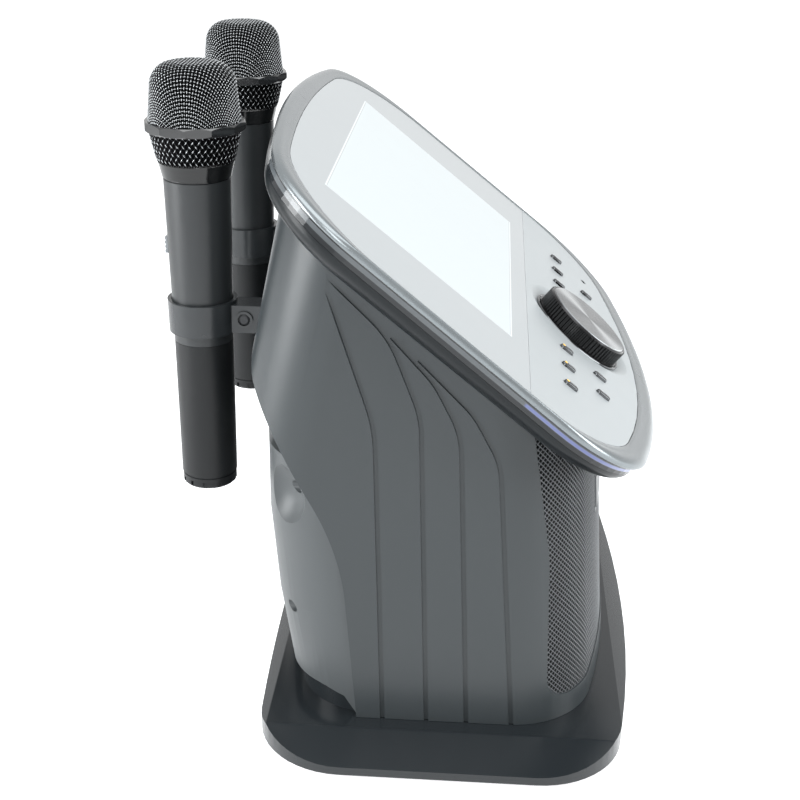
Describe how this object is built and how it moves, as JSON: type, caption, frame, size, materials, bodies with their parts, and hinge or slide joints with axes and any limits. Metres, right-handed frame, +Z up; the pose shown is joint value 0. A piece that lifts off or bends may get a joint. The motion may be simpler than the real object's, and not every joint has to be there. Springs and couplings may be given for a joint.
{
  "type": "karaoke machine with disc tray",
  "caption": "Table-top karaoke machine: tilted screen console with jog dial on a speaker cabinet, motorised disc tray, cordless microphones in rear cradles.",
  "frame": {"origin": "on the table, under the middle of the base plate, at the lower face of the middle foot", "axes": "+X to the user's right, -Y out of the front (grille, dial side), +Z up"},
  "size_m": [0.377, 0.2904, 0.3693],
  "materials": {
    "shell_dark": "satin moulded, dark slate grey",
    "cover_grey": "satin moulded, mid grey",
    "foot_rubber": "matt",
    "screw_steel": "zinc plated",
    "jack_black": "matt",
    "baffle_black": "matt",
    "grille_metal": "perforated sheet, satin silver-grey",
    "basket_black": "black painted",
    "cone_paper": "matt cone",
    "tub_dark": "satin moulded, darker than the cabinet",
    "trim_black": "gloss",
    "pipe_smoke": "smoked gloss light pipe",
    "led_white": "lit diffuser",
    "rim_silver": "satin silver",
    "screen_glass": "glossy, lit white screen",
    "lcd_white": "backlit panel",
    "panel_pale": "satin pale silver-grey",
    "board_green": "solder resist",
    "ring_chrome": "polished",
    "window_black": "gloss",
    "knob_black": "gloss, ribbed",
    "cap_brushed": "spun brushed",
    "shaft_steel": "turned",
    "button_chrome": "polished",
    "deck_grey": "matt",
    "tray_black": "satin",
    "gear_white": "natural acetal",
    "motor_steel": "plated can",
    "frame_black": "matt",
    "hub_black": "rubber topped",
    "sled_dark": "matt",
    "cradle_dark": "semi-gloss",
    "mesh_wire": "dark wire mesh",
    "ring_gloss": "gloss black",
    "mic_body": "satin near-black",
    "mic_tail_dark": "satin near-black",
    "capsule_steel": "plated",
    "switch_silver": "satin silver"
  },
  "bodies": {
    "machine": {"base_plate": "shell_dark", "rubber_feet": "foot_rubber", "main_housing": "shell_dark", "rear_cover": "cover_grey", "cover_screws": "screw_steel", "jack_block": "jack_black", "front_baffle": "baffle_black", "speaker_grille": "grille_metal", "speaker_frames": "basket_black", "speaker_cones": "cone_paper", "head_tub": "tub_dark", "trim_ring": "trim_black", "light_pipe": "pipe_smoke", "led_strip": "led_white", "rim_bezel": "rim_silver", "display_glass": "screen_glass", "lcd_panel": "lcd_white", "control_panel": "panel_pale", "control_board": "board_green", "dial_ring": "ring_chrome", "receiver_window": "window_black", "main_board": "board_green", "drive_chassis": "deck_grey", "loading_motor": "motor_steel", "mic_cradles": "cradle_dark", "cradle_screws": "screw_steel"},
    "tray": {"disc_tray": "tray_black", "tray_front": "tray_black"},
    "pinion": {"tray_pinion": "gear_white"},
    "motor_pinion": {"motor_gear": "gear_white"},
    "traverse": {"traverse_frame": "frame_black", "spindle_motor": "motor_steel", "sled_rods": "shaft_steel"},
    "spindle": {"disc_hub": "hub_black"},
    "sled": {"laser_sled": "sled_dark"},
    "dial": {"dial_knob": "knob_black", "dial_cap": "cap_brushed", "dial_shaft": "shaft_steel"},
    "key_1": {"button_1": "button_chrome"},
    "key_2": {"button_2": "button_chrome"},
    "key_3": {"button_3": "button_chrome"},
    "key_4": {"button_4": "button_chrome"},
    "key_5": {"button_5": "button_chrome"},
    "key_6": {"button_6": "button_chrome"},
    "key_7": {"button_7": "button_chrome"},
    "key_8": {"button_8": "button_chrome"},
    "key_9": {"button_9": "button_chrome"},
    "key_10": {"button_10": "button_chrome"},
    "mic_left": {"mic_left_mesh": "mesh_wire", "mic_left_ring": "ring_gloss", "mic_left_handle": "mic_body", "mic_left_tail": "mic_tail_dark", "mic_left_capsule": "capsule_steel"},
    "mic_left_slider": {"mic_left_switch": "switch_silver"},
    "mic_right": {"mic_right_mesh": "mesh_wire", "mic_right_ring": "ring_gloss", "mic_right_handle": "mic_body", "mic_right_tail": "mic_tail_dark", "mic_right_capsule": "capsule_steel"},
    "mic_right_slider": {"mic_right_switch": "switch_silver"}
  },
  "joints": [
    {"name": "tray_slide", "type": "slide", "parent": "machine", "child": "tray", "axis": [0, -1, 0], "range_m": [0, 0.146]},
    {"name": "pinion_turn", "type": "hinge", "parent": "machine", "child": "pinion", "pos_m": [0.045, -0.061, 0.118], "axis": [0, 0, 1], "range_deg": [-1050, 0]},
    {"name": "motor_turn", "type": "hinge", "parent": "machine", "child": "motor_pinion", "pos_m": [0.045, -0.037, 0.112], "axis": [0, 0, 1], "range_deg": [0, 3150]},
    {"name": "traverse_lift", "type": "hinge", "parent": "machine", "child": "traverse", "pos_m": [0, 0.058, 0.109], "axis": [-1, 0, 0], "range_deg": [0, 4]},
    {"name": "disc_spin", "type": "hinge", "parent": "traverse", "child": "spindle", "pos_m": [0, -0.02, 0.11], "axis": [0, 0, 1], "continuous": true},
    {"name": "sled_slide", "type": "slide", "parent": "traverse", "child": "sled", "axis": [0, 1, 0], "range_m": [0, 0.036]},
    {"name": "dial_turn", "type": "hinge", "parent": "machine", "child": "dial", "pos_m": [0, -0.07262, 0.19991], "axis": [0, -0.6266, 0.7793], "continuous": true},
    {"name": "key_1_press", "type": "slide", "parent": "machine", "child": "key_1", "axis": [0, 0.6266, -0.7793], "range_m": [0, 0.0008], "stiffness_N_per_m": 900, "springref_m": -0.0006},
    {"name": "key_2_press", "type": "slide", "parent": "machine", "child": "key_2", "axis": [0, 0.6266, -0.7793], "range_m": [0, 0.0008], "stiffness_N_per_m": 900, "springref_m": -0.0006},
    {"name": "key_3_press", "type": "slide", "parent": "machine", "child": "key_3", "axis": [0, 0.6266, -0.7793], "range_m": [0, 0.0008], "stiffness_N_per_m": 900, "springref_m": -0.0006},
    {"name": "key_4_press", "type": "slide", "parent": "machine", "child": "key_4", "axis": [0, 0.6266, -0.7793], "range_m": [0, 0.0008], "stiffness_N_per_m": 900, "springref_m": -0.0006},
    {"name": "key_5_press", "type": "slide", "parent": "machine", "child": "key_5", "axis": [0, 0.6266, -0.7793], "range_m": [0, 0.0008], "stiffness_N_per_m": 900, "springref_m": -0.0006},
    {"name": "key_6_press", "type": "slide", "parent": "machine", "child": "key_6", "axis": [0, 0.6266, -0.7793], "range_m": [0, 0.0008], "stiffness_N_per_m": 900, "springref_m": -0.0006},
    {"name": "key_7_press", "type": "slide", "parent": "machine", "child": "key_7", "axis": [0, 0.6266, -0.7793], "range_m": [0, 0.0008], "stiffness_N_per_m": 900, "springref_m": -0.0006},
    {"name": "key_8_press", "type": "slide", "parent": "machine", "child": "key_8", "axis": [0, 0.6266, -0.7793], "range_m": [0, 0.0008], "stiffness_N_per_m": 900, "springref_m": -0.0006},
    {"name": "key_9_press", "type": "slide", "parent": "machine", "child": "key_9", "axis": [0, 0.6266, -0.7793], "range_m": [0, 0.0008], "stiffness_N_per_m": 900, "springref_m": -0.0006},
    {"name": "key_10_press", "type": "slide", "parent": "machine", "child": "key_10", "axis": [0, 0.6266, -0.7793], "range_m": [0, 0.0008], "stiffness_N_per_m": 900, "springref_m": -0.0006},
    {"name": "mic_left_lift", "type": "slide", "parent": "machine", "child": "mic_left", "axis": [0, 0, 1], "range_m": [0, 0.125]},
    {"name": "mic_left_switch_slide", "type": "slide", "parent": "mic_left", "child": "mic_left_slider", "axis": [0, 0, 1], "range_m": [0, 0.008]},
    {"name": "mic_right_lift", "type": "slide", "parent": "machine", "child": "mic_right", "axis": [0, 0, 1], "range_m": [0, 0.125]},
    {"name": "mic_right_switch_slide", "type": "slide", "parent": "mic_right", "child": "mic_right_slider", "axis": [0, 0, 1], "range_m": [0, 0.008]}
  ],
  "couplings": [
    {"joint": "pinion_turn", "follows": "tray_slide", "rad_per_m": -125},
    {"joint": "motor_turn", "follows": "tray_slide", "rad_per_m": 375}
  ]
}
